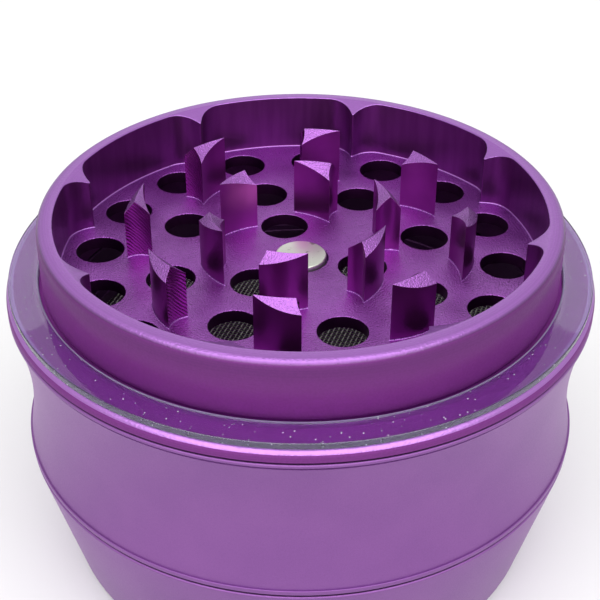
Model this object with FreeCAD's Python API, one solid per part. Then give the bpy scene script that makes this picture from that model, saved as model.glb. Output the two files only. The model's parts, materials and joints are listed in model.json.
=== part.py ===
import FreeCAD, Part
import math
import os

# Herb grinder with its lid off. From the bottom up: stash cup, sieve body, grinding chamber.
# Millimetres and degrees. +Z is up, and the origin is the middle of the face that the cup stands on.

# Outside of the stack
flange_diameter = 63.7
cup_height = 15.9
sieve_height = 17.55
flange_height = 1.55
collar_height = 7.2
flange_edge_round = 0.9
body_edge_round = 0.3

# Grinding chamber: collar and pocket wall
lid_ledge_width = 3.88          # from the flange's edge in to the collar
collar_wall = 1.75              # between the collar and a pocket
chamber_depth = 6.7             # from the rim down to the floor
floor_thickness = 1.4
rim_round = 0.65
rim_crest_width = 1.15          # level crest, from the collar's face inwards
rim_inner_fall = 0.9            # from the crest down to the tips of the ribs
pocket_count = 8
pocket_corner_radius = 3.0      # of the cutter that clears the pockets
rib_reach = 2.4                 # how far the cusp between two pockets stands in from the wall
rib_phase = 29.9

# Grinding chamber: holes in the floor. A ring's place is the share of the way from the magnet to the wall.
hole_diameter = 5.27
hole_edge_break = 0.12
outer_hole_count = 16
outer_hole_share = 0.826
outer_hole_phase = 86.1
middle_hole_count = 8
middle_hole_share = 0.495
middle_hole_phase = 17.1
inner_hole_count = 3
inner_hole_share = 0.168
inner_hole_phase = 105.4

# Grinding chamber: hooked teeth in two rings that point opposite ways
tooth_height = 6.7
tooth_length = 4.9              # from the tip to the outer corner of the heel
heel_width = 2.7
heel_rake = 0.55                # how far the heel's outer corner leads its inner corner
heel_hollow = 0.45
back_bulge = 0.4
belly_hollow = 0.35
tip_shift = 0.2                 # the tip lies this far outside the middle of the heel
roof_inner_slope = 40.0
roof_outer_slope = 47.0
outer_tooth_count = 8
outer_tooth_share = 0.629
outer_tooth_phase = 82.9
inner_tooth_count = 6
inner_tooth_share = 0.279
inner_tooth_phase = 80.1

# Centre magnet
magnet_diameter = 5.8
magnet_thickness = 1.4
magnet_proud = 0.45
magnet_glue_gap = 0.12
magnet_edge_round = 0.2

# Glide ring on the ledge
glide_ring_thickness = 0.74
glide_ring_inset = 0.35         # from the flange's edge
glide_ring_side_room = 0.35     # between the ring and the collar
glide_ring_edge_round = 0.12
collar_foot_groove_depth = 0.45
collar_foot_groove_height = 0.65

# Screwed joints. The threads stand in the room between a spigot and its socket.
thread_room = 0.6
spigot_end_room = 0.3
spigot_end_round = 0.4
upper_socket_wall = 2.55
upper_spigot_length = 4.8
upper_spigot_wall = 1.5
lower_socket_wall = 2.05
lower_spigot_length = 4.0
lower_spigot_wall = 1.7

# Sieve body
lower_edge_inset = 0.5          # the body is this much slimmer in radius at its lower edge
waist_depth = 1.0
edge_bead_height = 0.7
edge_bead_step = 0.2
sieve_wall = 4.65               # from the upper edge in to the bore
screen_ledge_width = 1.3        # how far the ledge above the screen stands in from the bore
screen_ledge_thickness = 1.25

# Screen, its crimped rim and the sprung ring below it
screen_thickness = 0.3
screen_edge_grip = 1.2          # how far the rim reaches over the woven disc
rim_sheet = 0.25
rim_side_room = 0.15
seat_play = 0.03
snap_wire_diameter = 1.0
snap_ring_bite = 0.45           # how deep the wire lies in its groove
snap_groove_room = 0.12         # between the wire and the groove round it
snap_ring_gap_angle = 24.0

# Stash cup
cup_base_diameter = 54.7
cup_floor_thickness = 2.0
cup_base_round = 1.2
cup_bowl_round = 5.0

# Heights and radii that follow
lower_seam_z = cup_height
upper_seam_z = lower_seam_z + sieve_height
flange_top_z = upper_seam_z + flange_height
rim_top_z = flange_top_z + collar_height
floor_z = rim_top_z - chamber_depth
floor_bottom_z = floor_z - floor_thickness

flange_radius = flange_diameter / 2
lower_edge_radius = flange_radius - lower_edge_inset
collar_radius = flange_radius - lid_ledge_width
pocket_wall_radius = collar_radius - collar_wall
rib_tip_radius = pocket_wall_radius - rib_reach
magnet_radius = magnet_diameter / 2
magnet_pocket_radius = magnet_radius + magnet_glue_gap
hole_radius = hole_diameter / 2

upper_socket_radius = flange_radius - upper_socket_wall
upper_spigot_radius = upper_socket_radius - thread_room
upper_spigot_bore = upper_spigot_radius - upper_spigot_wall
lower_socket_radius = lower_edge_radius - lower_socket_wall
lower_spigot_radius = lower_socket_radius - thread_room
lower_spigot_bore = lower_spigot_radius - lower_spigot_wall

upper_socket_floor_z = upper_seam_z - upper_spigot_length - spigot_end_room
lower_spigot_top_z = lower_seam_z + lower_spigot_length
snap_wire_radius = snap_wire_diameter / 2
snap_ring_z = lower_spigot_top_z + spigot_end_room + snap_wire_radius
screen_rim_bottom_z = snap_ring_z + snap_wire_radius + seat_play
screen_bottom_z = screen_rim_bottom_z + rim_sheet + seat_play
screen_rim_top_z = screen_bottom_z + screen_thickness + seat_play + rim_sheet
screen_ledge_z = screen_rim_top_z + seat_play
screen_rim_radius = lower_socket_radius - rim_side_room
screen_radius = screen_rim_radius - rim_sheet - seat_play

OVERCUT = 1.0
SAME_POINT = 1e-6
ORIGIN = FreeCAD.Vector(0, 0, 0)
UP = FreeCAD.Vector(0, 0, 1)


def at(radius, height):
    return FreeCAD.Vector(radius, 0, height)


def on_circle(radius, angle):
    turn = math.radians(angle)
    return FreeCAD.Vector(radius * math.cos(turn), radius * math.sin(turn), 0)


def arc(start, middle, end):
    return Part.Arc(start, middle, end).toShape()


def line(start, end):
    return Part.LineSegment(start, end).toShape()


def rounded_corner(before, corner, after, radius):
    """Start, middle and end of the arc that rounds one corner of an outline."""
    back = (before - corner).normalize()
    ahead = (after - corner).normalize()
    half_angle = back.getAngle(ahead) / 2
    reach = radius / math.tan(half_angle)
    bisector = (back + ahead).normalize()
    sink = radius / math.sin(half_angle) - radius
    return corner + back * reach, corner + bisector * sink, corner + ahead * reach


def turned(corners, bow_after=None, bow_depth=0.0):
    """Solid of revolution from (radius, height) or (radius, height, round) corners.

    The run that follows corner number bow_after is an arc, drawn in towards the axis by bow_depth.
    """
    points = [at(corner[0], corner[1]) for corner in corners]
    count = len(points)
    starts = []
    ends = []
    edges = []
    for index, corner in enumerate(corners):
        point = points[index]
        if len(corner) < 3:
            starts.append(point)
            ends.append(point)
            continue
        start, middle, end = rounded_corner(points[index - 1], point, points[(index + 1) % count], corner[2])
        edges.append(arc(start, middle, end))
        starts.append(start)
        ends.append(end)
    for index in range(count):
        run_start = ends[index]
        run_end = starts[(index + 1) % count]
        if index == bow_after:
            middle = (run_start + run_end) / 2 - at(bow_depth, 0)
            edges.append(arc(run_start, middle, run_end))
        elif run_start.distanceToPoint(run_end) > SAME_POINT:
            edges.append(line(run_start, run_end))
    outline = Part.Wire(Part.__sortEdges__(edges))
    return Part.Face(outline).revolve(ORIGIN, UP, 360)


def ring_angles(count, phase):
    return [phase + 360.0 * index / count for index in range(count)]


def floor_ring(share):
    return magnet_pocket_radius + share * (pocket_wall_radius - magnet_pocket_radius)


def pocket_space():
    """Space inside the wall: a ring of pockets whose round ends meet in cusps."""
    cutter_ring = pocket_wall_radius - pocket_corner_radius
    across = cutter_ring ** 2 + rib_tip_radius ** 2 - pocket_corner_radius ** 2
    corner_turn = math.degrees(math.acos(across / (2 * cutter_ring * rib_tip_radius)))
    edges = []
    for angle in ring_angles(pocket_count, rib_phase):
        next_angle = angle + 360.0 / pocket_count
        ends = []
        for rib_angle, side in ((angle, 1), (next_angle, -1)):
            tip = on_circle(rib_tip_radius, rib_angle)
            centre = on_circle(cutter_ring, rib_angle + side * corner_turn)
            touch = on_circle(pocket_wall_radius, rib_angle + side * corner_turn)
            halfway = ((tip - centre) + (touch - centre)).normalize() * pocket_corner_radius
            edges.append(arc(tip, centre + halfway, touch))
            ends.append(touch)
        middle = on_circle(pocket_wall_radius, (angle + next_angle) / 2)
        edges.append(arc(ends[0], middle, ends[1]))
    face = Part.Face(Part.Wire(Part.__sortEdges__(edges)))
    face.translate(FreeCAD.Vector(0, 0, floor_z))
    return face.extrude(UP * (chamber_depth + OVERCUT))


def floor_hole(radius, angle):
    drill = Part.makeCylinder(hole_radius, floor_thickness + OVERCUT, at(0, floor_bottom_z - OVERCUT))
    wide = hole_radius + hole_edge_break
    break_edge = Part.makeCone(hole_radius, wide, hole_edge_break, at(0, floor_z - hole_edge_break))
    cutter = drill.fuse(break_edge)
    cutter.translate(on_circle(radius, angle))
    return cutter


def floor_holes():
    rings = (
        (outer_hole_count, outer_hole_share, outer_hole_phase),
        (middle_hole_count, middle_hole_share, middle_hole_phase),
        (inner_hole_count, inner_hole_share, inner_hole_phase),
    )
    return [
        floor_hole(floor_ring(share), angle)
        for count, share, phase in rings
        for angle in ring_angles(count, phase)
    ]


def tooth_foot(ring_radius, hand):
    """Face under one tooth at angle 0. Its tip points clockwise for hand 1, the other way for hand -1."""
    half_length = tooth_length / 2
    heel_middle = ring_radius - tip_shift
    tip = FreeCAD.Vector(ring_radius, -half_length * hand, 0)
    heel_out = FreeCAD.Vector(heel_middle + heel_width / 2, half_length * hand, 0)
    heel_in = FreeCAD.Vector(heel_middle - heel_width / 2, (half_length - heel_rake) * hand, 0)
    outward = FreeCAD.Vector(1, 0, 0)
    along = FreeCAD.Vector(0, hand, 0)
    heel = arc(heel_in, (heel_in + heel_out) / 2 - along * heel_hollow, heel_out)
    back = arc(heel_out, (heel_out + tip) / 2 + outward * back_bulge, tip)
    belly = arc(tip, (tip + heel_in) / 2 + outward * belly_hollow, heel_in)
    return Part.Face(Part.Wire([heel, back, belly]))


def tooth_ring(count, share, phase, hand):
    """Teeth of one ring. Their tops are turned to a ridge that runs through the tips."""
    ring_radius = floor_ring(share)
    ridge_radius = math.hypot(ring_radius, tooth_length / 2)
    top_z = floor_z + tooth_height
    inner_drop = heel_width * math.tan(math.radians(roof_inner_slope))
    outer_drop = heel_width * math.tan(math.radians(roof_outer_slope))
    roof = turned([
        (ridge_radius - heel_width, floor_bottom_z),
        (ridge_radius + heel_width, floor_bottom_z),
        (ridge_radius + heel_width, top_z - outer_drop),
        (ridge_radius, top_z),
        (ridge_radius - heel_width, top_z - inner_drop),
    ])
    foot = tooth_foot(ring_radius, hand)
    foot.translate(at(0, floor_z))
    tooth = foot.extrude(UP * tooth_height).common(roof)
    teeth = []
    for angle in ring_angles(count, phase):
        copy = tooth.copy()
        copy.rotate(ORIGIN, UP, angle)
        teeth.append(copy)
    return teeth


def one_solid(shape):
    clean = shape.removeSplitter()
    return clean.Solids[0] if len(clean.Solids) == 1 else clean


def grinding_chamber():
    """One billet: collar, pocket wall, floor with holes and teeth, flange and spigot."""
    groove_radius = collar_radius - collar_foot_groove_depth
    groove_top_z = flange_top_z + collar_foot_groove_height
    blank = turned([
        (0, floor_bottom_z),
        (upper_spigot_bore, floor_bottom_z),
        (upper_spigot_bore, upper_seam_z - upper_spigot_length),
        (upper_spigot_radius, upper_seam_z - upper_spigot_length, spigot_end_round),
        (upper_spigot_radius, upper_seam_z),
        (flange_radius, upper_seam_z, body_edge_round),
        (flange_radius, flange_top_z, flange_edge_round),
        (groove_radius, flange_top_z),
        (groove_radius, groove_top_z),
        (collar_radius, groove_top_z),
        (collar_radius, rim_top_z, rim_round),
        (collar_radius - rim_crest_width, rim_top_z),
        (rib_tip_radius, rim_top_z - rim_inner_fall),
        (0, rim_top_z - rim_inner_fall),
    ])
    magnet_depth = magnet_thickness - magnet_proud
    magnet_pocket = Part.makeCylinder(
        magnet_pocket_radius, magnet_depth + OVERCUT, at(0, floor_z - magnet_depth))
    body = blank.cut(pocket_space())
    body = body.cut([magnet_pocket] + floor_holes())
    teeth = tooth_ring(outer_tooth_count, outer_tooth_share, outer_tooth_phase, 1)
    teeth += tooth_ring(inner_tooth_count, inner_tooth_share, inner_tooth_phase, -1)
    return one_solid(body.fuse(teeth))


def centre_magnet():
    bottom_z = floor_z - magnet_thickness + magnet_proud
    top_z = floor_z + magnet_proud
    return turned([
        (0, bottom_z),
        (magnet_radius, bottom_z, magnet_edge_round),
        (magnet_radius, top_z, magnet_edge_round),
        (0, top_z),
    ])


def glide_ring():
    inner = collar_radius + glide_ring_side_room
    outer = flange_radius - glide_ring_inset
    top_z = flange_top_z + glide_ring_thickness
    return turned([
        (inner, flange_top_z),
        (outer, flange_top_z, glide_ring_edge_round),
        (outer, top_z, glide_ring_edge_round),
        (inner, top_z),
    ])


def sieve_body():
    """Waisted ring with a socket at each end. The screen is held up against a ledge between them."""
    bore = flange_radius - sieve_wall
    ledge_radius = bore - screen_ledge_width
    ledge_top_z = screen_ledge_z + screen_ledge_thickness
    lower_bead_z = lower_seam_z + edge_bead_height
    upper_bead_z = upper_seam_z - edge_bead_height
    corners = [
        (lower_socket_radius, lower_seam_z),
        (lower_edge_radius, lower_seam_z, body_edge_round),
        (lower_edge_radius, lower_bead_z),
        (lower_edge_radius - edge_bead_step, lower_bead_z),
        (flange_radius - edge_bead_step, upper_bead_z),
        (flange_radius, upper_bead_z),
        (flange_radius, upper_seam_z, body_edge_round),
        (upper_socket_radius, upper_seam_z),
        (upper_socket_radius, upper_socket_floor_z),
        (bore, upper_socket_floor_z),
        (bore, ledge_top_z),
        (ledge_radius, ledge_top_z),
        (ledge_radius, screen_ledge_z),
        (lower_socket_radius, screen_ledge_z),
    ]
    waist_start = 3
    body = turned(corners, waist_start, waist_depth)
    groove = Part.makeTorus(snap_ring_radius(), snap_wire_radius + snap_groove_room, at(0, snap_ring_z))
    return one_solid(body.cut(groove))


def snap_ring_radius():
    return lower_socket_radius + snap_ring_bite - snap_wire_radius


def snap_ring():
    wire = Part.Wire(Part.makeCircle(
        snap_wire_radius, at(snap_ring_radius(), snap_ring_z), FreeCAD.Vector(0, 1, 0)))
    ring = Part.Face(wire).revolve(ORIGIN, UP, 360.0 - snap_ring_gap_angle)
    ring.rotate(ORIGIN, UP, snap_ring_gap_angle / 2)
    return ring


def screen_mesh():
    return Part.makeCylinder(screen_radius, screen_thickness, at(0, screen_bottom_z))


def screen_rim():
    """Sheet rim, folded over the edge of the woven disc from above and from below."""
    inner = screen_radius - screen_edge_grip
    slot_bottom_z = screen_bottom_z - seat_play
    slot_top_z = screen_bottom_z + screen_thickness + seat_play
    slot_radius = screen_radius + seat_play
    return turned([
        (inner, screen_rim_bottom_z),
        (screen_rim_radius, screen_rim_bottom_z),
        (screen_rim_radius, screen_rim_top_z),
        (inner, screen_rim_top_z),
        (inner, slot_top_z),
        (slot_radius, slot_top_z),
        (slot_radius, slot_bottom_z),
        (inner, slot_bottom_z),
    ])


def stash_cup():
    return turned([
        (0, 0),
        (cup_base_diameter / 2, 0, cup_base_round),
        (lower_edge_radius, lower_seam_z, body_edge_round),
        (lower_spigot_radius, lower_seam_z),
        (lower_spigot_radius, lower_spigot_top_z, spigot_end_round),
        (lower_spigot_bore, lower_spigot_top_z),
        (lower_spigot_bore, cup_floor_thickness, cup_bowl_round),
        (0, cup_floor_thickness),
    ])


PIECES = (
    stash_cup,
    sieve_body,
    screen_mesh,
    screen_rim,
    snap_ring,
    grinding_chamber,
    centre_magnet,
    glide_ring,
)

os.makedirs("parts", exist_ok=True)
for make_piece in PIECES:
    piece = make_piece()
    name = make_piece.__name__
    piece.exportStep("parts/" + name + ".step")
    print(name, "solids", len(piece.Solids), "valid", piece.isValid(), "volume", round(piece.Volume, 2))
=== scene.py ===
# %% [markdown]
# # A herb grinder with its lid off
# The real grinder is a stack of three turned aluminium bodies that screw together: a cup at the bottom,
# a sieve body in the middle and a milled chamber with teeth on top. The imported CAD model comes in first.
# It fixes every place and size, and the pieces made below lie over it with finer shapes and finishes.

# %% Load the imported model
import json
import math

import bmesh
import bpy
from mathutils import Matrix, Vector
from mathutils.geometry import delaunay_2d_cdt


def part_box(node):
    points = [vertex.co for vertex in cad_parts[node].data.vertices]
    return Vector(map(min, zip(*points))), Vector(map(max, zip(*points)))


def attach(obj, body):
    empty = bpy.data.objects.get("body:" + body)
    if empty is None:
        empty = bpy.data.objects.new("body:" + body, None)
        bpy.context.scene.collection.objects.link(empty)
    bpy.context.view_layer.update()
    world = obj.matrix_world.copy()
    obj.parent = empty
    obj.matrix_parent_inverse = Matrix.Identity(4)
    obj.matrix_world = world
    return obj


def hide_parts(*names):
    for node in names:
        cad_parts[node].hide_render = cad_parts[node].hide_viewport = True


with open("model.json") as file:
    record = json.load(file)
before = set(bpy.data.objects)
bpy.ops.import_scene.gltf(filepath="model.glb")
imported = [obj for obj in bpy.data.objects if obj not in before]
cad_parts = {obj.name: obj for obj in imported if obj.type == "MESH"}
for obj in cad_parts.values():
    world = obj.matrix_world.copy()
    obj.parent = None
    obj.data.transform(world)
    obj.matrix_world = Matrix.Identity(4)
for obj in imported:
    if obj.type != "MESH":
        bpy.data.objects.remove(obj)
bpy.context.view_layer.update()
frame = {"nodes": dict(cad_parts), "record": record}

# %% [markdown]
# A turned object is easiest to think about in millimetres, as radius and height. The model's boxes give most
# sizes, and the seat for the lid gives the collar. Sizes that no box shows are named beside the piece.

# %% Sizes from the model
MM = 0.001


def span(node):
    low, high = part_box(node)
    return low / MM, high / MM


chamber_low, chamber_high = span("grinding_chamber")
sieve_low, sieve_high = span("sieve_body")
_, cup_high = span("stash_cup")
ring_low, ring_high = span("glide_ring")
screen_low, screen_high = span("screen_mesh")
magnet_low, magnet_high = span("centre_magnet")

flange_radius = chamber_high.x
rim_top = chamber_high.z
upper_seam = sieve_high.z
lower_seam = sieve_low.z
flange_top = ring_low.z
lower_edge_radius = cup_high.x
lid_seat = next(mount for mount in frame["record"]["mounts"] if mount["name"] == "lid_collar")
collar_radius = lid_seat["dims"]["r_mm"]
print("rim", round(rim_top, 2), "seams", round(upper_seam, 2), round(lower_seam, 2), "collar", collar_radius)

# %% [markdown]
# Turned parts come from one idea: draw half of the cut section, then swing it round the axis. Blender has a
# screw modifier for that. A short function does the same and can also change the section with the angle,
# which the scalloped chamber wall needs. Each corner of a section may have a round, because every real edge
# is broken a little and a sharp one never catches a line of light. One more function spreads finishes along a
# section, so that one piece can be blasted on one run and turned or milled on the next.

# %% Section and swing
round_steps = 6


def rounded(corners):
    """Points of a closed section of (radius, height) corners. A third number rounds the corner."""
    points = []
    for index, corner in enumerate(corners):
        here = Vector(corner[:2])
        if len(corner) < 3:
            points.append(here)
            continue
        back = (Vector(corners[index - 1][:2]) - here).normalized()
        ahead = (Vector(corners[(index + 1) % len(corners)][:2]) - here).normalized()
        half_angle = back.angle(ahead) / 2
        centre = here + (back + ahead).normalized() * corner[2] / math.sin(half_angle)
        first = here + back * corner[2] / math.tan(half_angle) - centre
        last = here + ahead * corner[2] / math.tan(half_angle) - centre
        sweep = first.angle(last)
        for step in range(round_steps + 1):
            share = sweep * step / round_steps
            spoke = (first * math.sin(sweep - share) + last * math.sin(share)) / math.sin(sweep)
            points.append(centre + spoke)
    return points


def run_finishes(corners, pairs):
    """Finish of each step of a section, from the finish on each corner's round and on the run after it.

    The first third of a round keeps the finish of the run before it."""
    marks = []
    third = round_steps // 3
    before = pairs[-1][1]
    for corner, (on_round, after) in zip(corners, pairs):
        if len(corner) == 3:
            marks += [before] * third + [on_round] * (round_steps - third)
        marks.append(after)
        before = after
    return marks


def even_turns(count):
    return [360.0 * index / count for index in range(count)]


def swing(section_at, turns):
    """Points and faces of the closed band whose section at each angle is section_at(angle)."""
    points = []
    for turn in turns:
        angle = math.radians(turn)
        points += [(r * math.cos(angle), r * math.sin(angle), z) for r, z in section_at(turn)]
    width = len(points) // len(turns)
    faces = []
    for row in range(len(turns)):
        here = row * width
        after = (row + 1) % len(turns) * width
        for step in range(width):
            beside = (step + 1) % width
            faces.append((here + step, after + step, after + beside, here + beside))
    return points, faces


one_round = rounded([(0, 0), (1, 0, 0.2), (1, 1)])
print("a corner with a round becomes", len(one_round) - 2, "points")

# %% [markdown]
# Every piece goes through the same last steps. Points that fall together on the axis are merged, normals are
# turned outwards, faces are shaded smooth and edges over a chosen angle stay sharp. Then the piece is tied to
# the body that carries it, so that it follows when the stack is taken apart.

# %% From points to a piece
merge_distance = 2e-7
sharp_angle = 32


def make_piece(name, points, faces, body, finishes, sharp=sharp_angle, finish_of=None):
    mesh = bpy.data.meshes.new(name)
    mesh.from_pydata([Vector(point) * MM for point in points], [], faces)
    for finish in finishes:
        mesh.materials.append(finish)
    if finish_of:
        for face in mesh.polygons:
            face.material_index = finish_of(face.index)
    shape = bmesh.new()
    shape.from_mesh(mesh)
    bmesh.ops.remove_doubles(shape, verts=shape.verts, dist=merge_distance)
    bmesh.ops.recalc_face_normals(shape, faces=shape.faces)
    shape.to_mesh(mesh)
    shape.free()
    mesh.shade_smooth()
    mesh.set_sharp_from_angle(angle=math.radians(sharp))
    piece = bpy.data.objects.new(name, mesh)
    bpy.context.scene.collection.objects.link(piece)
    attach(piece, body)
    print(name, "has", len(mesh.polygons), "faces")
    return piece


print("edges stay sharp over", sharp_angle, "degrees unless a piece says otherwise")

# %% [markdown]
# All three bodies are the same dyed aluminium, and only the tool marks differ. A finish is therefore one
# metal shader with a height map, and a helper adds nodes and wires them. Grain is written in millimetres:
# object coordinates are in metres, so a grain of g millimetres is a noise of scale 1000 / g.

# %% Helpers for finishes
def new_finish(name, color, roughness, metallic=1.0):
    material = bpy.data.materials.new(name)
    material.use_nodes = True
    shader = material.node_tree.nodes["Principled BSDF"]
    shader.inputs["Base Color"].default_value = (*color, 1.0)
    shader.inputs["Roughness"].default_value = roughness
    shader.inputs["Metallic"].default_value = metallic
    return material, shader


def add(material, kind, settings=None, **inputs):
    """Adds a node to a material or a world. A socket among the inputs is wired, another value is written."""
    node = material.node_tree.nodes.new("ShaderNode" + kind)
    for key, value in (settings or {}).items():
        setattr(node, key, value)
    for key, value in inputs.items():
        socket = node.inputs[int(key[1:])] if key[1:].isdigit() else node.inputs[key.replace("_", " ")]
        if isinstance(value, bpy.types.NodeSocket):
            material.node_tree.links.new(value, socket)
        else:
            socket.default_value = value
    return node.outputs[0]


def wire(material, source, socket):
    material.node_tree.links.new(source, socket)


def place(material):
    return add(material, "TexCoord").node.outputs["Object"]


def calc(material, operation, *values):
    return add(material, "Math", {"operation": operation}, **{"i%d" % i: v for i, v in enumerate(values)})


def noise(material, vector, grain, detail=2.0):
    """Noise with lumps of about this many millimetres."""
    return add(material, "TexNoise", Vector=vector, Scale=1000.0 / grain, Detail=detail)


def around(material):
    """Radius, angle and height of a point, in millimetres and radians."""
    scaled = add(material, "VectorMath", {"operation": "SCALE"}, i0=place(material), Scale=1000.0)
    parts = add(material, "SeparateXYZ", i0=scaled).node.outputs
    flat = add(material, "CombineXYZ", X=parts["X"], Y=parts["Y"])
    radius = add(material, "VectorMath", {"operation": "LENGTH"}, i0=flat).node.outputs["Value"]
    angle = calc(material, "ARCTAN2", parts["Y"], parts["X"])
    return radius, angle, parts["Z"]


def span_map(material, value, low, high, out_low, out_high):
    return add(material, "MapRange", i0=value, i1=low, i2=high, i3=out_low, i4=out_high)


def relief(material, shader, height, depth, strength=1.0, under=None):
    """Bump of this depth in millimetres, over another bump if one is given."""
    inputs = {"Height": height, "Distance": depth * MM, "Strength": strength}
    if under:
        inputs["Normal"] = under
    bump = add(material, "Bump", **inputs)
    wire(material, bump, shader.inputs["Normal"])
    return bump


def blend_colors(material, share, first, second):
    mix = add(material, "Mix", {"data_type": "RGBA"}, Factor=share)
    node = mix.node
    for socket, color in ((node.inputs[6], first), (node.inputs[7], second)):
        if isinstance(color, bpy.types.NodeSocket):
            wire(material, color, socket)
        else:
            socket.default_value = (*color, 1.0)
    return node.outputs[2]


def rough_between(material, shader, source, low, high):
    """Roughness that swings with a noise."""
    wire(material, span_map(material, source, 0.3, 0.7, low, high), shader.inputs["Roughness"])


def seal(shader, weight, roughness, ior=1.5):
    """Thin clear coat for the sealed skin over the dye."""
    shader.inputs["Coat Weight"].default_value = weight
    shader.inputs["Coat Roughness"].default_value = roughness
    shader.inputs["Coat IOR"].default_value = ior


print("a grain of 0.2 mm is a noise of scale", 1000.0 / 0.2)

# %% [markdown]
# The cup and the sieve body are bead blasted before they are dyed. Thousands of tiny dents turn the metal
# into a soft satin that shows no mirror image. Two noises make it: a fine one for the dents and a broad one
# for the slight clouds in the dye. A thin clear coat stands for the sealed skin, which looks paler along the
# outline. A second, far darker colour on the inside of the sieve body is painted shade, so that it looks
# almost black from above.

# %% Blasted finish
def blasted_finish(name, deep, pale):
    material, shader = new_finish(name, pale, 0.5)
    dents = noise(material, place(material), 0.12, 1.0)
    clouds = noise(material, place(material), 7.0)
    share = span_map(material, clouds, 0.35, 0.65, 0.0, 1.0)
    dye_and_painted_light = blend_colors(material, share, deep, pale)
    wire(material, dye_and_painted_light, shader.inputs["Base Color"])
    rough_between(material, shader, dents, 0.46, 0.58)
    relief(material, shader, dents, 0.03, 0.5)
    seal(shader, 0.4, 0.4)
    return material


blasted_purple = blasted_finish("blasted_purple", (0.232, 0.083, 0.303), (0.25, 0.091, 0.32))
# Painted shade: the same metal, darkened for the shadowed inside of the sieve body.
inner_purple_painted_shade = blasted_finish("inner_purple_painted_shade", (0.09, 0.024, 0.105), (0.11, 0.03, 0.13))
print("made", blasted_purple.name, inner_purple_painted_shade.name)

# %% [markdown]
# The stash cup catches what falls through the screen. It is one turned piece: a flat base, a straight taper
# up to the seam, and a spigot that screws into the sieve body. Its bowl has a wide round at the bottom, so
# that powder can be wiped out. The seam stands open by a hair at the outside, which draws it as a dark line.

# %% Stash cup
cup_base_radius = 27.35
cup_floor = 2.0
seam_gap = 0.2
seam_depth = 0.9
lower_spigot_radius = 28.7
lower_spigot_bore = 27.0
around_body = even_turns(256)

cup_section = rounded([
    (0, 0),
    (cup_base_radius, 0, 1.2),
    (lower_edge_radius, lower_seam - seam_gap, 0.2),
    (lower_edge_radius - seam_depth, lower_seam - seam_gap),
    (lower_edge_radius - seam_depth, lower_seam),
    (lower_spigot_radius, lower_seam),
    (lower_spigot_radius, cup_high.z, 0.4),
    (lower_spigot_bore, cup_high.z, 0.25),
    (lower_spigot_bore, cup_floor, 5.0),
    (0, cup_floor),
])
cup_points, cup_faces = swing(lambda turn: cup_section, around_body)
cup = make_piece("stash_cup_shell", cup_points, cup_faces, "stash_cup", [blasted_purple])
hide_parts("stash_cup")

# %% [markdown]
# The sieve body is a ring with a drawn-in waist that gives a grip. A thin bead is left at both edges, with a
# fine groove under the upper one. Inside are a socket at each end and, between them, the ledge that the
# screen is pushed up against. The waist is an arc, and a parabola through the same three points is so close
# to it that nobody can tell them apart.

# %% Sieve body
bead_height = 0.7
bead_step = 0.2
groove_depth = 0.32
waist_depth = 1.0
upper_socket_radius = 29.3
upper_socket_floor = chamber_low.z - 0.3
sieve_bore = 27.2
screen_ledge_radius = 25.9
screen_ledge_top = screen_high.z + 1.56
screen_ledge_foot = screen_high.z + 0.31
lower_socket_radius = 29.3


def waist(low, high, steps=24):
    """Points between two corners of the section, drawn in towards the axis."""
    points = []
    for step in range(1, steps):
        share = step / steps
        straight = low.lerp(high, share)
        points.append((straight.x - waist_depth * 4 * share * (1 - share), straight.y))
    return points


waist_low = Vector((lower_edge_radius - bead_step, lower_seam + bead_height))
waist_high = Vector((flange_radius - bead_step, upper_seam - bead_height))
sieve_corners = [
    (lower_socket_radius, lower_seam, 0.25),
    (lower_edge_radius, lower_seam, 0.3),
    (lower_edge_radius, waist_low.y, 0.08),
    tuple(waist_low),
    *waist(waist_low, waist_high),
    tuple(waist_high),
    (waist_high.x - groove_depth, waist_high.y + groove_depth / 2),
    (flange_radius, waist_high.y + groove_depth, 0.12),
    (flange_radius, upper_seam, 0.18),
    (upper_socket_radius, upper_seam, 0.25),
    (upper_socket_radius, upper_socket_floor),
    (sieve_bore, upper_socket_floor, 0.2),
    (sieve_bore, screen_ledge_top, 0.3),
    (screen_ledge_radius, screen_ledge_top, 0.2),
    (screen_ledge_radius, screen_ledge_foot),
    (lower_socket_radius, screen_ledge_foot),
]
sieve_section = rounded(sieve_corners)
socket_radius = max(upper_socket_radius, lower_socket_radius)
inside = [int(corner[0] <= socket_radius) for corner in sieve_corners]
sieve_marks = run_finishes(sieve_corners, list(zip(inside, inside)))
sieve_points, sieve_faces = swing(lambda turn: sieve_section, around_body)
sieve = make_piece(
    "sieve_body_shell", sieve_points, sieve_faces, "sieve_body",
    [blasted_purple, inner_purple_painted_shade],
    finish_of=lambda index: sieve_marks[index % len(sieve_marks)])
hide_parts("sieve_body")

# %% [markdown]
# Threads only show when the stack is taken apart, but then they say at once how it holds together. A thread
# is a ridge wound round the spigot, and its mate is a ridge wound inside the socket, half a pitch away. One
# small section is carried along a helix and dies away at both ends, as a cut thread does.

# %% Threads
thread_pitch = 1.5
thread_depth = 0.42
thread_root = 0.33
thread_crest = 0.12
thread_sink = 0.05
thread_blunt = 0.01
runout_steps = 14.0
lower_thread_start = lower_seam + 0.55
upper_thread_start = upper_socket_floor + 0.9


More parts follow.
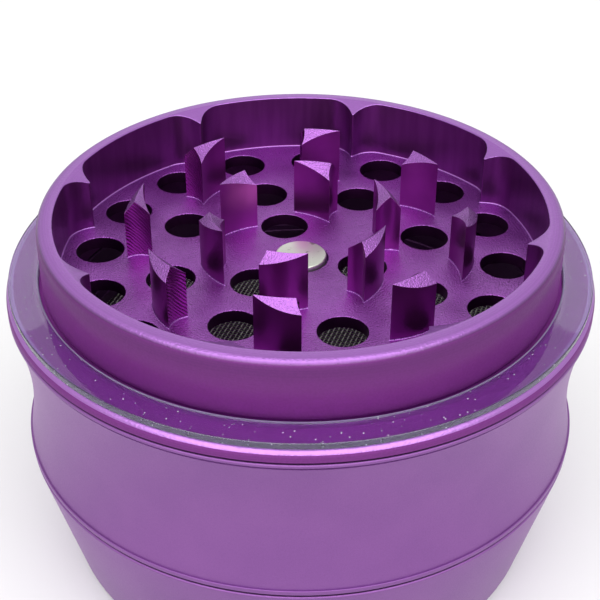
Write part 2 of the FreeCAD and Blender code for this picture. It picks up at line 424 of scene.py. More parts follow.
def thread(name, body, finish, radius, start, turns, outward):
    points = []
    faces = []
    steps_per_turn = 96
    steps = int(steps_per_turn * turns)
    side = 1 if outward else -1
    for step in range(steps + 1):
        angle = math.tau * step / steps_per_turn
        height = start + thread_pitch * step / steps_per_turn
        runout = min(1.0, min(step, steps - step) / runout_steps)
        crest = radius + side * (thread_depth * runout)
        root = radius - side * thread_sink
        flat = thread_crest * runout + thread_blunt
        for r, z in ((root, -thread_root), (crest, -flat), (crest, flat), (root, thread_root)):
            points.append((r * math.cos(angle), r * math.sin(angle), height + z))
    for step in range(steps):
        near = step * 4
        for corner in range(4):
            beside = (corner + 1) % 4
            faces.append((near + corner, near + 4 + corner, near + 4 + beside, near + beside))
    faces.append((3, 2, 1, 0))
    faces.append(tuple(steps * 4 + corner for corner in range(4)))
    make_piece(name, points, faces, body, [finish], sharp=40)


thread(
    "stash_cup_thread", "stash_cup", blasted_purple,
    lower_spigot_radius, start=lower_thread_start, turns=1.7, outward=True)
thread(
    "sieve_lower_thread", "sieve_body", blasted_purple,
    lower_socket_radius, start=lower_thread_start + thread_pitch / 2, turns=1.6, outward=False)
thread(
    "sieve_upper_thread", "sieve_body", blasted_purple,
    upper_socket_radius, start=upper_thread_start + thread_pitch / 2, turns=2.0, outward=False)

# %% [markdown]
# The screen is plain woven wire: each wire goes over one neighbour and under the next. A flat disc with a
# picture of a weave would look wrong from the side, so every wire is modelled. A wire is a thin tube through
# its crossings, up at one and down at the next, and both sets of wires are cut off in a circle. The two sets
# are one steel in a lit and a shaded copy: the bright warp is painted light and the dull weft is painted
# shade.

# %% Woven screen
wire_pitch = 0.51
wire_radius = 0.085
wire_swing = 0.06
weave_turn = math.radians(-18)
cloth_radius = screen_high.x - 0.3
cloth_height = (screen_low.z + screen_high.z) / 2


def steel_finish(name, color, roughness, grain, metallic=1.0):
    material, shader = new_finish(name, color, roughness, metallic)
    rub = noise(material, place(material), grain)
    rough_between(material, shader, rub, roughness - 0.08, roughness + 0.1)
    tone = blend_colors(material, rub, tuple(0.85 * c for c in color), tuple(1.12 * c for c in color))
    wire(material, tone, shader.inputs["Base Color"])
    relief(material, shader, rub, 0.01, 0.3)
    return material


def woven_points():
    points = []
    faces = []
    reach = int(cloth_radius / wire_pitch)
    for way in (0, 1):
        heading = weave_turn + way * math.pi / 2
        along = Vector((math.sin(-heading), math.cos(heading), 0))
        across = Vector((math.cos(heading), math.sin(heading), 0))
        for row in range(-reach, reach + 1):
            half = int(math.sqrt(cloth_radius ** 2 - (row * wire_pitch) ** 2) / wire_pitch)
            first = len(points)
            for step in range(-half, half + 1):
                lift = wire_swing if (row + step + way) % 2 else -wire_swing
                middle = across * row * wire_pitch + along * step * wire_pitch
                middle.z = cloth_height + lift
                points.append(middle + across * wire_radius)
                points.append(middle + Vector((0, 0, wire_radius)))
                points.append(middle - across * wire_radius)
                points.append(middle - Vector((0, 0, wire_radius)))
            for step in range(2 * half):
                for corner in range(4):
                    beside = (corner + 1) % 4
                    near = first + step * 4
                    faces.append((near + corner, near + 4 + corner, near + 4 + beside, near + beside))
            if half:
                faces.append((first, first + 1, first + 2, first + 3))
                last = first + half * 8
                faces.append((last + 3, last + 2, last + 1, last))
    return points, faces


# Painted light and shade: the warp is a bright copy and the weft a dark copy of one steel.
warp_steel_painted_light = steel_finish("warp_steel_painted_light", (0.92, 0.92, 0.88), 0.36, 0.3, 0.4)
weft_steel_painted_shade = steel_finish("weft_steel_painted_shade", (0.3, 0.3, 0.28), 0.45, 0.3)
cloth_points, cloth_faces = woven_points()
cloth = make_piece(
    "screen_cloth", cloth_points, cloth_faces, "sieve_body", [warp_steel_painted_light, weft_steel_painted_shade],
    sharp=180,
    finish_of=lambda index: int(index >= len(cloth_faces) // 2))
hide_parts("screen_mesh")

# %% [markdown]
# A folded steel rim binds the edge of the screen, and a sprung wire below it snaps into a groove and holds it
# up. Both sit deep inside and their CAD shapes are already right, so they stay and only get a finish.

# %% Rim and snap ring
rim_steel = steel_finish("rim_steel", (0.56, 0.56, 0.54), 0.3, 0.8)
spring_steel = steel_finish("spring_steel", (0.46, 0.46, 0.47), 0.26, 0.5)


def dress(node, finish):
    mesh = frame["nodes"][node].data
    mesh.materials.clear()
    mesh.materials.append(finish)
    mesh.shade_smooth()
    mesh.set_sharp_from_angle(angle=math.radians(sharp_angle))
    print("dressed", node, "in", finish.name)


dress("screen_rim", rim_steel)
dress("snap_ring", spring_steel)

# %% [markdown]
# The chamber's outside is turned on a lathe before it is dyed, so its marks run round and stretch each
# reflection into a streak. That is anisotropy along a tangent that circles the axis. Fine lines come from
# noise that depends only on radius and height, which makes it the same all the way round. Collar, lip, ledge
# and flange edge get tones of their own, which are painted light and shade on one dyed metal: the lip and
# the flange edge are paler as a painted highlight, the collar is darker as painted shade and the ledge under
# the clear ring is brighter as painted light. The collar's colour grows lighter towards its foot, painted
# light that stands in for light thrown up through the clear ring, and the lip's grows darker where it rolls
# over into the collar, painted shade where its highlight falls off.

# %% Turned finish
painted_glow_heights = (flange_top + 1.2, rim_top - 1.4)
painted_shade_radii = (collar_radius - 0.36, collar_radius - 0.14)


def turned_finish(name, rough, coat, pale, sparkle, stretch, foot=None, painted_brow_shade=None):
    material, shader = new_finish(name, pale, rough)
    radius, _, height = around(material)
    path = calc(material, "ADD", radius, height)
    lines = add(material, "TexNoise", {"noise_dimensions": "1D"}, W=path, Scale=9.0, Detail=3.0)
    specks = noise(material, place(material), 0.24, 1.0)
    rough_between(material, shader, specks, rough - 0.04, rough + 0.06)
    first = relief(material, shader, lines, 0.008, 0.4)
    relief(material, shader, specks, sparkle, 0.4, first)
    deep = tuple(0.88 * c for c in pale)
    dye_and_painted_light = blend_colors(material, span_map(material, lines, 0.3, 0.7, 0, 1), deep, pale)
    # Painted light: lighter towards the collar's foot, for light thrown up through the clear ring.
    if foot:
        rise = span_map(material, height, *painted_glow_heights, 1.0, 0.0)
        dye_and_painted_light = blend_colors(material, rise, dye_and_painted_light, foot)
    # Painted shade: darker where the lip rolls over into the collar.
    if painted_brow_shade:
        fall = span_map(material, radius, *painted_shade_radii, 0.0, 1.0)
        dye_and_painted_light = blend_colors(material, fall, dye_and_painted_light, painted_brow_shade)
    wire(material, dye_and_painted_light, shader.inputs["Base Color"])
    shader.inputs["Anisotropic"].default_value = stretch
    circling = add(material, "Tangent", {"direction_type": "RADIAL", "axis": "Z"})
    wire(material, circling, shader.inputs["Tangent"])
    shader.inputs["Specular Tint"].default_value = (0.75, 0.72, 0.8, 1.0)
    seal(shader, coat, 0.2, 1.7)
    return material


turned_purple = turned_finish(
    "turned_purple", rough=0.64, coat=0.12, pale=(0.215, 0.042, 0.25), sparkle=0.004, stretch=0.2)
# Painted shade and light: the collar is darker than the turned metal, and its foot colour turns lighter.
collar_purple_painted_light = turned_finish(
    "collar_purple_painted_light", rough=0.56, coat=0.15, pale=(0.165, 0.034, 0.195), sparkle=0.02, stretch=0.2,
    foot=(0.285, 0.048, 0.315))
# Painted highlight and shade: the lip is paler than the collar, and darker where it rolls over.
lip_purple_painted_light = turned_finish(
    "lip_purple_painted_light", rough=0.38, coat=0.35, pale=(0.34, 0.127, 0.47), sparkle=0.12, stretch=0.0,
    painted_brow_shade=(0.12, 0.03, 0.15))
# Painted highlight: the flange edge is paler than the turned metal.
edge_purple_painted_highlight = turned_finish(
    "edge_purple_painted_highlight", rough=0.34, coat=0.35, pale=(0.40, 0.16, 0.53), sparkle=0.1, stretch=0.0)
# Painted light: the ledge under the clear ring is brighter than the turned metal.
ledge_purple_painted_light = turned_finish(
    "ledge_purple_painted_light", rough=0.62, coat=0.0, pale=(0.425, 0.085, 0.49), sparkle=0.01, stretch=0.0)
print("made", turned_purple.name, collar_purple_painted_light.name, lip_purple_painted_light.name, edge_purple_painted_highlight.name, ledge_purple_painted_light.name)

# %% [markdown]
# A cutter that plunged straight down has cleared the pockets, so their walls carry upright streaks. Their
# deeper purple is painted shade for the deep pockets, whose walls mostly mirror each other. Noise that
# changes fast with the angle and hardly with the height gives the streaks.

# %% Plunged finish of the pocket walls
def plunged_finish():
    material, shader = new_finish("plunged_purple_painted_shade", (0.35, 0.06, 0.40), 0.24)
    radius, angle, height = around(material)
    sweep = add(material, "CombineXYZ", X=calc(material, "MULTIPLY", angle, 26.0), Y=radius,
                Z=calc(material, "MULTIPLY", height, 0.12))
    streaks = add(material, "TexNoise", Vector=sweep, Scale=1.1, Detail=2.0)
    grain = noise(material, place(material), 0.2, 1.0)
    rough_between(material, shader, grain, 0.3, 0.4)
    share = span_map(material, streaks, 0.3, 0.7, 0, 1)
    # Painted shade: both tones are darker than the floor and the teeth of the same metal, for the deep
    # pockets.
    dye_and_painted_light = blend_colors(material, share, (0.20, 0.042, 0.21), (0.25, 0.056, 0.26))
    wire(material, dye_and_painted_light, shader.inputs["Base Color"])
    first = relief(material, shader, streaks, 0.03, 0.35)
    relief(material, shader, grain, 0.015, 0.3, first)
    return material


plunged_purple_painted_shade = plunged_finish()
print("made", plunged_purple_painted_shade.name)

# %% [markdown]
# The chamber's wall is round outside and scalloped inside: eight wide pockets with round ends that meet in
# upright cusps. The inner radius is worked out for each angle, and the section is swung with it. Columns of
# points crowd together near the cusps, where the shape changes fastest.

# %% Chamber wall
pocket_wall = collar_radius - 1.75
rib_tip = pocket_wall - 2.5
rib_count = 8
rib_pitch = 360.0 / rib_count
rib_phase = 29.9
cusp_blunting = 0.4
pocket_corner = 3.0
crest_radius = collar_radius - 1.6
rim_fall = 1.2
chamber_floor = rim_top - 6.7
floor_underside = chamber_floor - 1.4
wall_foot = chamber_floor + 0.01
plate_lap = 0.25
plate_sink = 0.5
upper_spigot_radius = 28.7
upper_spigot_bore = 27.2
foot_groove_radius = collar_radius - 0.45
foot_groove_top = flange_top + 0.65
cutter_ring = pocket_wall - pocket_corner
corner_turn = math.degrees(math.acos(
    (cutter_ring ** 2 + rib_tip ** 2 - pocket_corner ** 2) / (2 * cutter_ring * rib_tip)))


def pocket_radius(turn):
    from_rib = abs((turn - rib_phase + rib_pitch / 2) % rib_pitch - rib_pitch / 2)
    from_rib = math.hypot(from_rib, cusp_blunting)
    if from_rib >= corner_turn:
        return pocket_wall
    lean = math.radians(corner_turn - from_rib)
    off_centre = cutter_ring * math.sin(lean)
    return cutter_ring * math.cos(lean) + math.sqrt(pocket_corner ** 2 - off_centre ** 2)


def wall_corners(turn):
    inner = pocket_radius(turn)
    inner_top = rim_top - rim_fall * max(0.0, crest_radius - inner) / (crest_radius - rib_tip)
    return [
        (inner, inner_top, 0.12),
        (inner, wall_foot, 0.2),
        (inner - plate_lap, wall_foot),
        (inner - plate_lap, chamber_floor - plate_sink),
        (upper_spigot_bore, chamber_floor - plate_sink),
        (upper_spigot_bore, chamber_low.z, 0.2),
        (upper_spigot_radius, chamber_low.z, 0.4),
        (upper_spigot_radius, upper_seam),
        (flange_radius - seam_depth, upper_seam),
        (flange_radius - seam_depth, upper_seam + seam_gap),
        (flange_radius, upper_seam + seam_gap, 0.15),
        (flange_radius, flange_top, 0.9),
        (foot_groove_radius, flange_top),
        (foot_groove_radius, foot_groove_top),
        (collar_radius, foot_groove_top, 0.1),
        (collar_radius, rim_top, 0.95),
        (crest_radius, rim_top, 0.3),
    ]


def wall_section(turn):
    return rounded(wall_corners(turn))


def crowded_turns():
    near = [0, 0.1, 0.2, 0.3, 0.45, 0.65, 0.9, 1.2, 1.6, 2.1, 2.7, 3.4, 4.2, 5, 5.8, 6.6]
    far = [corner_turn + (rib_pitch / 2 - corner_turn) * step / 14 for step in range(15)]
    turns = set()
    for rib in range(rib_count):
        for offset in near + far:
            turns.add(round((rib_phase + rib_pitch * rib + offset) % 360, 4))
            turns.add(round((rib_phase + rib_pitch * rib - offset) % 360, 4))
    return sorted(turns)


wall_points, wall_faces = swing(wall_section, crowded_turns())
TURNED, PLUNGED, LIP, LEDGE, COLLAR, EDGE = range(6)
underside_corners = 9
# The round at the foot of the pocket walls takes the lip's paler finish, a painted highlight line.
wall_marks = run_finishes(wall_corners(0.0), [
    (LIP, PLUNGED), (LIP, LIP),
    *[(TURNED, TURNED)] * underside_corners,
    (EDGE, LEDGE), (TURNED, TURNED), (TURNED, TURNED), (COLLAR, COLLAR), (LIP, LIP), (LIP, LIP),
])
chamber_wall = make_piece(
    "chamber_wall", wall_points, wall_faces, "grinding_chamber",
    [turned_purple, plunged_purple_painted_shade, lip_purple_painted_light, ledge_purple_painted_light, collar_purple_painted_light, edge_purple_painted_highlight],
    finish_of=lambda index: wall_marks[index % len(wall_marks)])
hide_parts("grinding_chamber")
thread(
    "chamber_thread", "grinding_chamber", turned_purple,
    upper_spigot_radius, start=upper_thread_start, turns=2.2, outward=True)

# %% [markdown]
# The floor was cut by an end mill and is satin, with a sparkle of tiny facets and a few faint swirls where
# the tool turned round. Fine noise gives the sparkle. The swirls are rings round the axis that a broad noise
# leaves standing in patches, so weak that they only show where the light grazes.

# %% Milled finish
def milled_finish(name, rough, swirl_depth, sparkle, pale, deep, coat):
    material, shader = new_finish(name, pale, rough)
    grain = noise(material, place(material), 0.17, 1.5)
    broad = noise(material, place(material), 4.0)
    swirls = add(
        material, "TexWave", {"wave_type": "RINGS", "rings_direction": "Z"},
        Vector=place(material), Scale=950.0, Distortion=1.0, Detail=1.0)
    patches = calc(material, "MULTIPLY", swirls, span_map(material, broad, 0.5, 0.62, 0.0, 1.0))
    vary = min(0.08, sparkle)
    rough_between(material, shader, grain, rough - vary, rough + vary)
    dye_and_painted_light = blend_colors(material, span_map(material, broad, 0.35, 0.65, 0, 1), deep, pale)
    wire(material, dye_and_painted_light, shader.inputs["Base Color"])
    first = relief(material, shader, patches, swirl_depth, 0.5)
    relief(material, shader, grain, sparkle, 0.8, first)
    seal(shader, coat, 0.3, 1.7)
    return material


milled_purple = milled_finish(
    "milled_purple", rough=0.32, swirl_depth=0.03, sparkle=0.13,
    pale=(0.29, 0.082, 0.395), deep=(0.255, 0.068, 0.35), coat=0.15)
# Painted shade: the straight walls of the drain holes are darkened almost to black.
bore_purple_painted_shade = milled_finish(
    "bore_purple_painted_shade", rough=0.4, swirl_depth=0.0, sparkle=0.02,
    pale=(0.09, 0.016, 0.1), deep=(0.07, 0.012, 0.08), coat=0.0)
print("made", milled_purple.name, bore_purple_painted_shade.name)

# %% [markdown]
# The floor is a plate with 27 drain holes and a shallow pocket for the magnet. A boolean cut for each hole
# would leave long thin faces, so the flat faces are filled between circles by a triangulation that keeps the
# circles as edges. Each hole gets a small rounded lip, which shows as a bright ring.

# %% Perforated floor
magnet_radius = magnet_high.x
magnet_pocket = magnet_radius + 0.12
magnet_seat = magnet_low.z
hole_radius = 2.635
hole_lip = 0.09
plate_radius = upper_spigot_bore + 0.15
plate_steps = 180
pocket_steps = 64
hole_steps = 48
centre = Vector((0, 0))


def floor_ring(share):
    return magnet_pocket + share * (pocket_wall - magnet_pocket)


def ring_places(count, share, phase):
    angles = [math.radians(phase + 360.0 * index / count) for index in range(count)]
    return [Vector((math.cos(a), math.sin(a))) * floor_ring(share) for a in angles]


def circle(middle, radius, steps):
    angles = [math.tau * step / steps for step in range(steps)]
    return [middle + radius * Vector((math.cos(a), math.sin(a))) for a in angles]


def inside_hole(spot, hole):
    """Whether a point lies inside the many-sided outline of a hole."""
    middle, radius, steps = hole
    return (spot - middle).length <= 0.9995 * radius * math.cos(math.pi / steps)


def plate_face(holes, height):
    """Flat face at one height, filled between the plate's edge and the holes."""
    flat = []
    edges = []
    for middle, radius, steps in [(centre, plate_radius, plate_steps)] + holes:
        first = len(flat)
        flat += circle(middle, radius, steps)
        edges += [(first + s, first + (s + 1) % steps) for s in range(steps)]
    spots, _, triangles, *_ = delaunay_2d_cdt(flat, edges, [], 0, 1e-6)
    kept = []
    for triangle in triangles:
        spot = sum((spots[i] for i in triangle), Vector((0, 0))) / 3
        if not any(inside_hole(spot, hole) for hole in holes):
            kept.append(tuple(triangle))
    return [(x, y, height) for x, y in spots], kept


def tube(levels, middle, steps):
    """Wall through circles of (radius, height) round one centre line."""
    points = []
    for radius, height in levels:
        points += [(p.x, p.y, height) for p in circle(middle, radius, steps)]
    faces = []
    for level in range(len(levels) - 1):
        here = level * steps
        below = here + steps
        for s in range(steps):
            t = (s + 1) % steps
            faces.append((here + s, here + t, below + t, below + s))
    return points, faces


def gather(parts):
    points = []
    faces = []
    for part_points, part_faces in parts:
        first = len(points)
        points += part_points
        faces += [tuple(first + i for i in face) for face in part_faces]
    return points, faces


def lip(radius, height):
    """Rounded edge of a hole, from the floor down into the hole."""
    turns = [math.radians(a) for a in (0, 30, 60, 90)]
    return [(radius + hole_lip * (1 - math.sin(a)), height - hole_lip * (1 - math.cos(a))) for a in turns]


hole_places = ring_places(count=16, share=0.826, phase=86.1)
hole_places += ring_places(count=8, share=0.495, phase=17.1)
hole_places += ring_places(count=3, share=0.168, phase=105.4)
through = [(p, hole_radius, hole_steps) for p in hole_places]
lipped = [(p, hole_radius + hole_lip, hole_steps) for p in hole_places]
magnet_levels = lip(magnet_pocket, chamber_floor) + [(magnet_pocket, magnet_seat), (0, magnet_seat)]
hole_levels = lip(hole_radius, chamber_floor) + [(hole_radius, floor_underside)]
floor_parts = [
    plate_face(lipped + [(centre, magnet_pocket + hole_lip, pocket_steps)], chamber_floor),
    plate_face(through, floor_underside),
    tube([(plate_radius, chamber_floor), (plate_radius, floor_underside)], centre, plate_steps),
    tube(magnet_levels, centre, pocket_steps),
]
floor_parts += [tube(hole_levels, p, hole_steps) for p in hole_places]
floor_points, floor_faces = gather(floor_parts)
hole_bands = len(hole_levels) - 1
first_bore_face = len(floor_faces) - len(hole_places) * hole_bands * hole_steps


def floor_mark(index):
    """Number of the finish on one face of the floor: 1 in the straight part of a hole."""
    band = (index - first_bore_face) // hole_steps
    return int(band >= 0 and band % hole_bands == hole_bands - 1)


chamber_plate = make_piece(
    "chamber_floor", floor_points, floor_faces, "grinding_chamber",
    [milled_purple, bore_purple_painted_shade], finish_of=floor_mark)
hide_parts("grinding_chamber")

# %% [markdown]
# The teeth are what the grinder is bought for. Seen from above each is a hook between three arcs: a bulging
# back, a hollow belly and a hollow heel. The tops were turned to a ridge that runs through all the tips of a
# ring, with a slope on each side. Two grids of points, one on each slope, share the ridge and reach out to
# the arcs. The sides drop from their edges to a small flare at the foot, as a round-nosed cutter leaves it.

# %% Shape of one tooth
tooth_height = 6.7
tooth_length = 4.9
heel_width = 2.7
heel_rake = 0.55
heel_hollow = 0.45
back_bulge = 0.4
belly_hollow = 0.35
tip_shift = 0.2
inner_slope = math.tan(math.radians(40))
outer_slope = math.tan(math.radians(47))
foot_flare = 0.14
foot_sink = 0.06
flare_steps = 5
outer_ring_share = 0.629
inner_ring_share = 0.279
long_steps = 14
cross_steps = 5


def arc_through(first, middle, last):
    """Function of a share from 0 to 1 that runs along the arc through three points."""
    a, b, c = first, middle, last
    aa, bb, cc = a.length_squared, b.length_squared, c.length_squared
    twice = 2 * (a.x * (b.y - c.y) + b.x * (c.y - a.y) + c.x * (a.y - b.y))
    hub = Vector((
        (aa * (b.y - c.y) + bb * (c.y - a.y) + cc * (a.y - b.y)) / twice,
        (aa * (c.x - b.x) + bb * (a.x - c.x) + cc * (b.x - a.x)) / twice))
    spoke = first - hub
    turn = -spoke.angle_signed(middle - hub) - (middle - hub).angle_signed(last - hub)

    def along(share):
        cos, sin = math.cos(turn * share), math.sin(turn * share)
        return hub + Vector((spoke.x * cos - spoke.y * sin, spoke.x * sin + spoke.y * cos))
    return along


def tooth_arcs(ring_radius, hand):
    half = tooth_length / 2
    heel_middle = ring_radius - tip_shift
    tip = Vector((ring_radius, -half * hand))
    heel_out = Vector((heel_middle + heel_width / 2, half * hand))
    heel_in = Vector((heel_middle - heel_width / 2, (half - heel_rake) * hand))
    heel_deep = (heel_in + heel_out) / 2 - Vector((0, hand * heel_hollow))
    back = arc_through(tip, (heel_out + tip) / 2 + Vector((back_bulge, 0)), heel_out)
    belly = arc_through(tip, (tip + heel_in) / 2 + Vector((belly_hollow, 0)), heel_in)
    heel = arc_through(heel_in, heel_deep, heel_out)
    return tip, heel_in, heel_out, back, belly, heel


def share_on_circle(heel, radius):
    """Share along the heel at which it crosses the ridge."""
    low, high = 0.0, 1.0
    for _ in range(40):
        middle = (low + high) / 2
        if heel(middle).length < radius:
            low = middle
        else:
            high = middle
    return low


def slope_grid(ring_radius, hand, outer):
    tip, heel_in, heel_out, back, belly, heel = tooth_arcs(ring_radius, hand)
    ridge_radius = tip.length
    crossing = share_on_circle(heel, ridge_radius)
    meet = heel(crossing)
    start, end = math.atan2(tip.y, tip.x), math.atan2(meet.y, meet.x)
    side, corner, goal = (back, heel_out, 1.0) if outer else (belly, heel_in, 0.0)
    slope = outer_slope if outer else inner_slope
    rows = []
    for i in range(long_steps + 1):
        share = i / long_steps
        angle = start + (end - start) * share
        ridge = ridge_radius * Vector((math.cos(angle), math.sin(angle)))
        row = []
        for j in range(cross_steps + 1):
            across = j / cross_steps
            bend = heel(crossing + (goal - crossing) * across) - meet.lerp(corner, across)
            spot = ridge.lerp(side(share), across) + bend * share ** 3
            top = chamber_floor + tooth_height - slope * abs(spot.length - ridge_radius)
            row.append((spot.x, spot.y, top))
        rows.append(row)
    return rows


def tooth_edge(outer, inner):
    """Points round the top's edge: along the back, across the heel and back along the belly."""
    edge = [row[-1] for row in outer]
    edge += outer[-1][-2::-1]
    edge += inner[-1][1:]
    edge += [row[-1] for row in inner[-2:0:-1]]
    return edge


def outward(edge, index):
    """Mitred direction away from the tooth at one point of its edge."""
    before, here, after = (Vector(edge[(index + k) % len(edge)][:2]) for k in (-1, 0, 1))
    first = (here - before).normalized()
    second = (after - here).normalized()
    mitre = Vector((first.y + second.y, -first.x - second.x)).normalized()
    return mitre * min(1.6, 1 / max(0.3, mitre.dot(Vector((first.y, -first.x)))))


def one_tooth(ring_radius, hand):
    outer = slope_grid(ring_radius, hand, True)
    inner = slope_grid(ring_radius, hand, False)
    points = []
    faces = []
    for rows in (outer, inner):
        first = len(points)
        width = cross_steps + 1
        points += [point for row in rows for point in row]
        for i in range(long_steps):
            for j in range(cross_steps):
                near = first + i * width + j
                faces.append((near, near + 1, near + width + 1, near + width))
    edge = tooth_edge(outer, inner)
    levels = [(0.0, foot_flare)]
    for step in range(1, flare_steps + 1):
        angle = math.radians(90 * step / flare_steps)
        levels.append((foot_flare * (1 - math.cos(angle)), foot_flare * (1 - math.sin(angle))))
    levels.append((foot_flare, -foot_sink))
    first = len(points)
    points += edge
    for offset, height in levels:
        for index in range(len(edge)):
            spot = Vector(edge[index][:2]) + outward(edge, index) * offset * hand
            points.append((spot.x, spot.y, chamber_floor + height))
    count = len(edge)
    for level in range(len(levels)):
        for index in range(count):
            beside = (index + 1) % count
            near = first + level * count
            faces.append((near + index, near + beside, near + count + beside, near + count + index))
    last = first + len(levels) * count
    faces.append(tuple(range(last, last + count)))
    return points, faces


print("one tooth has", len(one_tooth(floor_ring(outer_ring_share), 1)[1]), "faces")

# %% [markdown]
# The outer ring has eight teeth whose tips point clockwise, and the inner ring has six that point the other
# way, so that the two rings pull the herb against each other. All teeth of a ring are one mesh. A narrow
# bevel on every sharp edge is what makes the ridges glint. The grainy roofs, the smooth sides and the striped
# heels of the outer teeth have finishes of their own. The roofs' paler finish also covers the small flare at
# each foot, where it is a painted highlight line.

# %% Two rings of teeth
edge_break = 0.07
edge_angle = 35
heel_line_pitch = 0.45


def turned_by(points, angle):
    cos, sin = math.cos(math.radians(angle)), math.sin(math.radians(angle))
    return [(x * cos - y * sin, x * sin + y * cos, z) for x, y, z in points]


def tooth_mark(index):
    """Number of the finish on one face of a tooth: roof and foot, side or heel."""
    roof_faces = 2 * long_steps * cross_steps
    level, step = divmod(index - roof_faces, 2 * long_steps + 2 * cross_steps)
    # Painted highlight: the foot's flare and the bottom take the roof's paler finish.
    if level:
        return 0
    return 2 if long_steps <= step < long_steps + 2 * cross_steps else 1


def heel_finish():
    """Finish of the heels: slanting lines that a cutter left as it climbed."""
    material = milled_finish(
        "heel_purple", rough=0.22, swirl_depth=0.0, sparkle=0.005,
        pale=(0.40, 0.07, 0.37), deep=(0.34, 0.056, 0.32), coat=0.0)
    shader = material.node_tree.nodes["Principled BSDF"]
    radius, _, height = around(material)
    slant = calc(material, "SUBTRACT", height, calc(material, "MULTIPLY", radius, 1.1))
    wander = noise(material, place(material), 2.5)
    path = calc(material, "ADD", slant, calc(material, "MULTIPLY", wander, 0.8))
    lines = calc(material, "SINE", calc(material, "MULTIPLY", path, math.tau / heel_line_pitch))
    grain_bump = shader.inputs["Normal"].links[0].from_socket
    relief(material, shader, lines, 0.022, 0.8, grain_bump)
    return material


def tooth_ring(name, count, share, phase, hand, heel):
    tooth_points, tooth_faces = one_tooth(floor_ring(share), hand)
    places = [phase + turn for turn in even_turns(count)]
    points, faces = gather([(turned_by(tooth_points, angle), tooth_faces) for angle in places])
    teeth = make_piece(
        name, points, faces, "grinding_chamber", [roof_purple_and_painted_highlight, tooth_purple, heel],
        sharp=edge_angle, finish_of=lambda index: tooth_mark(index % len(tooth_faces)))
    bevel = teeth.modifiers.new("edge_break", "BEVEL")
    bevel.width = edge_break * MM
    bevel.segments = 2
    bevel.limit_method = "ANGLE"
    bevel.angle_limit = math.radians(edge_angle)
    bevel.harden_normals = True
    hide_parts("grinding_chamber")


roof_purple_and_painted_highlight = milled_finish(
    "roof_purple_and_painted_highlight", rough=0.3, swirl_depth=0.0, sparkle=0.12,
    pale=(0.32, 0.105, 0.43), deep=(0.285, 0.093, 0.385), coat=0.22)
tooth_purple = milled_finish(
    "tooth_purple", rough=0.3, swirl_depth=0.0, sparkle=0.004,
    pale=(0.37, 0.062, 0.345), deep=(0.315, 0.05, 0.3), coat=0.0)
tooth_ring("outer_teeth", count=8, share=outer_ring_share, phase=82.9, hand=1, heel=heel_finish())
tooth_ring("inner_teeth", count=6, share=inner_ring_share, phase=80.1, hand=-1, heel=tooth_purple)

# %% [markdown]
# The magnet holds the lid down. It is a nickel-plated disc, glued into its pocket a little proud of the
# floor, so a dark ring of glue gap shows round it. The plating is satin, with a few darker patches from a
# noise.

# %% Centre magnet
def nickel_finish():
    material, shader = new_finish("magnet_nickel_plate", (0.66, 0.66, 0.58), 0.3)
    dark_patches = noise(material, place(material), 0.9, 3.0)
    haze = noise(material, place(material), 2.5)
    dark = span_map(material, dark_patches, 0.62, 0.70, 0.0, 0.75)
    tone = blend_colors(material, dark, (0.56, 0.59, 0.52), (0.16, 0.15, 0.14))
    wire(material, tone, shader.inputs["Base Color"])
    rough_between(material, shader, haze, 0.34, 0.46)
    relief(material, shader, dark_patches, 0.02, 0.2)
    return material


plate_gap = 0.08
glue_line = 0.02
magnet_section = rounded([
    (0, magnet_low.z + glue_line),
    (magnet_radius - plate_gap, magnet_low.z + glue_line, 0.2),
    (magnet_radius - plate_gap, magnet_high.z, 0.22),
    (0, magnet_high.z),
])
magnet_points, magnet_faces = swing(lambda turn: magnet_section, even_turns(96))
magnet = make_piece(
    "magnet_disc", magnet_points, magnet_faces, "grinding_chamber", [nickel_finish()])
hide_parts("centre_magnet")

# %% [markdown]
# A clear plastic ring lies on the ledge round the collar and lets the lid turn without scraping. It is a flat
# band with softly rounded edges that shows the purple metal through it. Its inner edge is sawn, so a narrow
# frosted strip there scatters light. Dust sticks to such a ring: a cell pattern gives each cell one small
# round speck, and a part of the cells is left bare.

# %% Glide ring
plastic_ior = 1.49
speck_cell = 0.75


def frosted_finish():
    """The sawn inner edge of the ring, which scatters light."""
    material, shader = new_finish("frosted_plastic", (0.27, 0.235, 0.37), 0.5, metallic=0.0)
    grain = noise(material, place(material), 0.3)
    rough_between(material, shader, grain, 0.4, 0.6)
    shader.inputs["Transmission Weight"].default_value = 0.35
    shader.inputs["IOR"].default_value = plastic_ior
    return material


def clear_finish():
    material, shader = new_finish("clear_plastic_ring", (0.86, 0.90, 0.97), 0.04, metallic=0.0)
    cells = add(material, "TexVoronoi", Vector=place(material), Scale=1000.0 / speck_cell).node.outputs
    near = span_map(material, cells["Distance"], 0.085, 0.12, 1.0, 0.0)
    lot = add(material, "SeparateXYZ", i0=cells["Color"])
    specks = calc(material, "MULTIPLY", near, calc(material, "GREATER_THAN", lot, 0.3))
    wire(material, span_map(material, specks, 0.0, 1.0, 1.0, 0.45), shader.inputs["Transmission Weight"])
    rub = noise(material, place(material), 3.0)
    wire(material, span_map(material, rub, 0.35, 0.7, 0.03, 0.07), shader.inputs["Roughness"])
    shader.inputs["IOR"].default_value = plastic_ior
    return material


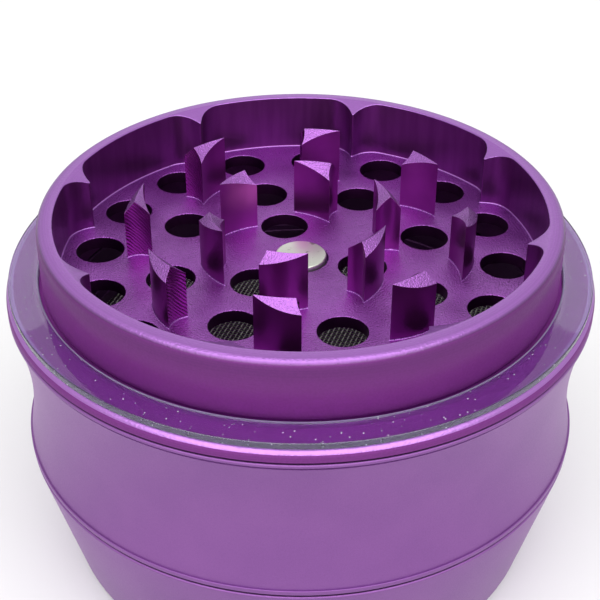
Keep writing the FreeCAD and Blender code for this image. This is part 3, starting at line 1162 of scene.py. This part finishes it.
ring_inner = collar_radius + 0.35
ring_foot = ring_low.z + 0.02
sawn_width = 0.2
ring_corners = [
    (ring_inner, ring_foot),
    (ring_high.x, ring_foot, 0.12),
    (ring_high.x, ring_high.z, 0.14),
    (ring_inner + sawn_width, ring_high.z),
    (ring_inner, ring_high.z, 0.12),
]
ring_section = rounded(ring_corners)
CLEAR, FROSTED = range(2)
ring_marks = run_finishes(ring_corners, [(CLEAR, CLEAR)] * 3 + [(FROSTED, FROSTED)] * 2)
band_points, band_faces = swing(lambda turn: ring_section, around_body)
band = make_piece(
    "glide_ring_band", band_points, band_faces, "glide_ring",
    [clear_finish(), frosted_finish()],
    finish_of=lambda index: ring_marks[index % len(ring_marks)])
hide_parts("glide_ring")

# %% [markdown]
# The stage is a plain pale floor of dull paper that keeps the object's shadow, under a plain white sky. The
# sky is a little brighter overhead and has a soft grey haze at the horizon, like the walls of a studio. That
# keeps the outer walls of the stack from washing out.

# %% Floor and surroundings
floor_drop = 0.0002


def pale_floor():
    mesh = bpy.data.meshes.new("stage_floor")
    half = 12.0
    corners = [(-half, -half, 0), (half, -half, 0), (half, half, 0), (-half, half, 0)]
    mesh.from_pydata(corners, [], [(0, 1, 2, 3)])
    floor = bpy.data.objects.new("stage_floor", mesh)
    bpy.context.scene.collection.objects.link(floor)
    paper, _ = new_finish("stage_paper", (0.72, 0.72, 0.72), 0.9, metallic=0.0)
    mesh.materials.append(paper)
    floor.location.z = -floor_drop
    return floor


def studio_dome(world):
    """Strength of the sky: a little dimmer in the haze at the horizon, brightest overhead."""
    way = add(world, "TexCoord").node.outputs["Generated"]
    height = add(world, "SeparateXYZ", i0=way).node.outputs["Z"]
    smooth = {"interpolation_type": "SMOOTHSTEP"}
    level = add(world, "MapRange", smooth, i0=height, i1=0.1, i2=0.9, i3=0.9, i4=1.0)
    haze = add(world, "MapRange", smooth, i0=height, i1=0.0, i2=0.14, i3=0.76, i4=1.0)
    return calc(world, "MULTIPLY", level, haze)


floor = pale_floor()
world = bpy.data.worlds.new("studio")
bpy.context.scene.world = world
world.use_nodes = True
sky = world.node_tree.nodes["Background"]
sky.inputs["Color"].default_value = (1.0, 1.0, 1.0, 1.0)
wire(world, studio_dome(world), sky.inputs["Strength"])
print("stage", floor.name, "under", world.name)

# %% [markdown]
# Light is one large soft box that reaches from low in front to overhead. The rounded rim, the flange and the
# near roofs of the teeth mirror it. A small box behind is dimmer than the sky round it, so it works as a grey
# card: the flat floor of the chamber mirrors it and keeps its depth of colour.

# %% Lamps
def soft_box(name, where, aim, width, height, watts):
    data = bpy.data.lights.new(name, "AREA")
    data.shape = "RECTANGLE"
    data.size = width
    data.size_y = height
    data.energy = watts
    lamp = bpy.data.objects.new(name, data)
    lamp.location = where
    lamp.rotation_mode = "QUATERNION"
    lamp.rotation_quaternion = (Vector(aim) - Vector(where)).to_track_quat("-Z", "Y")
    bpy.context.scene.collection.objects.link(lamp)


aim_point = Vector((0, 0, 0.035))
soft_box("front_box", (0.0, -0.42, 0.52), aim_point, width=1.30, height=0.80, watts=6.4)
soft_box("back_box", (0.0, 0.92, 0.47), aim_point, width=0.5, height=0.4, watts=0.3)

# %% [markdown]
# The camera stands in front and looks down into the chamber at about 34 degrees. Its distance was found from
# how fast circles of known height shrink in the picture, and the lens follows from the width of the rim.

# %% Camera
camera_data = bpy.data.cameras.new("front_view")
camera_data.sensor_width = 36.0
camera_data.lens = 78.0
camera_data.clip_start = 0.01
camera_data.clip_end = 10.0
camera = bpy.data.objects.new("front_view", camera_data)
stand = Matrix.Translation((-0.00006, -0.12023, 0.11184))
tilt = Matrix.Rotation(math.radians(55.707), 4, "X")
roll = Matrix.Rotation(math.radians(0.12), 4, "Z")
camera.matrix_world = stand @ tilt @ roll
bpy.context.scene.collection.objects.link(camera)
bpy.context.scene.camera = camera
bpy.context.scene.view_settings.view_transform = "Standard"
print("camera at", tuple(camera.location))
